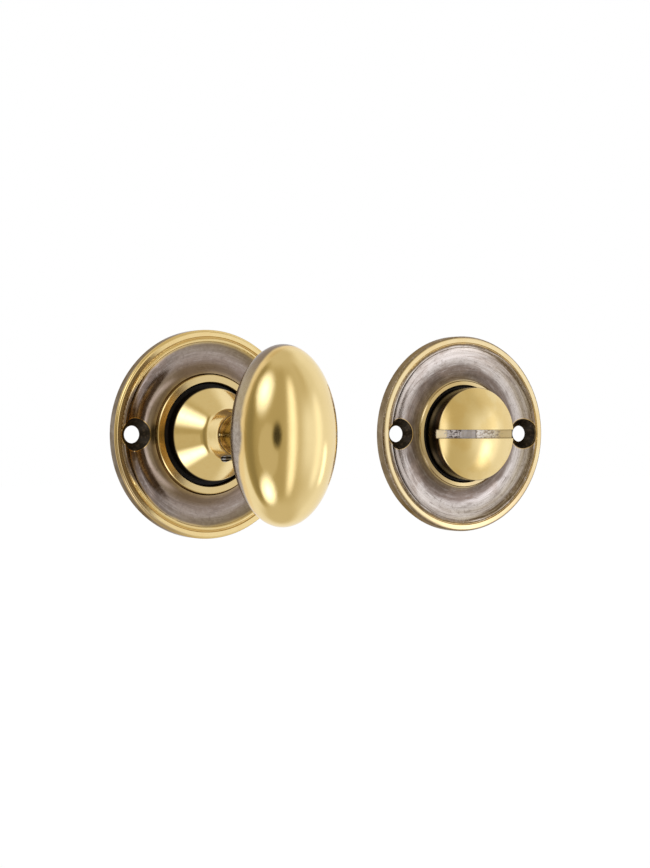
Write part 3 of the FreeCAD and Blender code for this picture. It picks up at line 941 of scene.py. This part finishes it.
# %% [markdown]
# ## Grub screw
#
# The small set screw under the neck is a body of revolution with two exceptions: its thread
# and its six-sided socket. Both can be a radius that depends on the angle, so the whole screw
# is one closed grid: around it goes the angle, and along it goes a profile that starts in
# the middle of the point, runs over the side and ends in the middle of the socket's floor.

# %% Threaded grub screw
THREAD = 0.3
SCREW_R = 1.96
KEY_HALF = 1.0
KEY_DEPTH = 1.4


def screw_surface(low, high, axis_y, around=96, along=110):
    """Point at angle a and profile share t: radius is the profile's own, less a triangle
    wave of (length / pitch - a / full turn) on the side, and in the socket it is the
    half key width over the cosine of the angle from the nearest flat's middle."""
    angle = np.linspace(0, 2 * np.pi, around, endpoint=False)[None, :]
    length = high - low
    side = np.linspace(0.4, length - 0.2, along)
    wave = np.abs(((side[:, None] / GRUB_THREAD_PITCH - angle / (2 * np.pi)) % 1.0) * 2 - 1)
    fade = np.clip(np.minimum(side - 0.2, length - side) / 0.4, 0, 1)[:, None]
    threaded = SCREW_R - THREAD * (1 - wave) * fade
    hexagon = KEY_HALF / np.cos((angle + np.pi / 6) % (np.pi / 3) - np.pi / 6)
    one = np.ones_like(angle)
    rows = [(0.02 * one, 0.0), (1.4 * one, 0.0), (1.55 * one, 0.02)]
    rows += [(r[None, :], s) for r, s in zip(threaded, side)]
    rows += [(1.7 * one, length), (1.35 * one, length), (hexagon + 0.1, length)]
    rows += [(hexagon, length - 0.12), (hexagon, length - KEY_DEPTH + 0.02)]
    rows += [(hexagon - 0.03, length - KEY_DEPTH), (0.02 * one, length - KEY_DEPTH - 0.25)]
    r = np.vstack([row for row, _ in rows])
    s = np.array([h for _, h in rows])[:, None] * one
    x, y, z = r * np.cos(angle), axis_y + r * np.sin(angle), high - s
    return np.stack([x, y, z], axis=-1)


def closed_grid(name, points):
    """A mesh from rows of rings: quads between neighbours, and one face closes each end."""
    rows, columns = points.shape[:2]
    index = np.arange(rows * columns).reshape(rows, columns)
    right = np.roll(index, -1, axis=1)
    quads = np.stack([index[:-1], right[:-1], right[1:], index[1:]], axis=-1).reshape(-1, 4)
    faces = quads.tolist() + [index[0][::-1].tolist(), index[-1].tolist()]
    mesh = bpy.data.meshes.new(name)
    mesh.from_pydata((points.reshape(-1, 3) * MM).tolist(), [], faces)
    mesh.update()
    piece = bpy.data.objects.new(name, mesh)
    bpy.context.scene.collection.objects.link(piece)
    return piece


screw_low, screw_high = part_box("grub_screw")
screw_y = (screw_low.y + screw_high.y) / 2 / MM
screw_points = screw_surface(screw_low.z / MM, screw_high.z / MM, screw_y)
threaded_screw = closed_grid("threaded_grub_screw", screw_points)
made, net = new_material("dark_steel")
here = places(net)
spots = net.noise(here, 2.5, 4.0, 0.6)
tone = net.tint(net.step(spots, 0.4, 0.7), (0.34, 0.33, 0.32), (0.20, 0.18, 0.16))
surface(net, tone, 1.0, net.ramp(spots, 0.3, 0.7, 0.22, 0.40), spots, 0.004)
threaded_screw.data.materials.append(made)
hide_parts("grub_screw")
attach(threaded_screw, "turn")
print("screw has", len(threaded_screw.data.polygons), "faces")

# %% [markdown]
# ## Sizes
#
# The dressed lock has to keep the size of its solids.
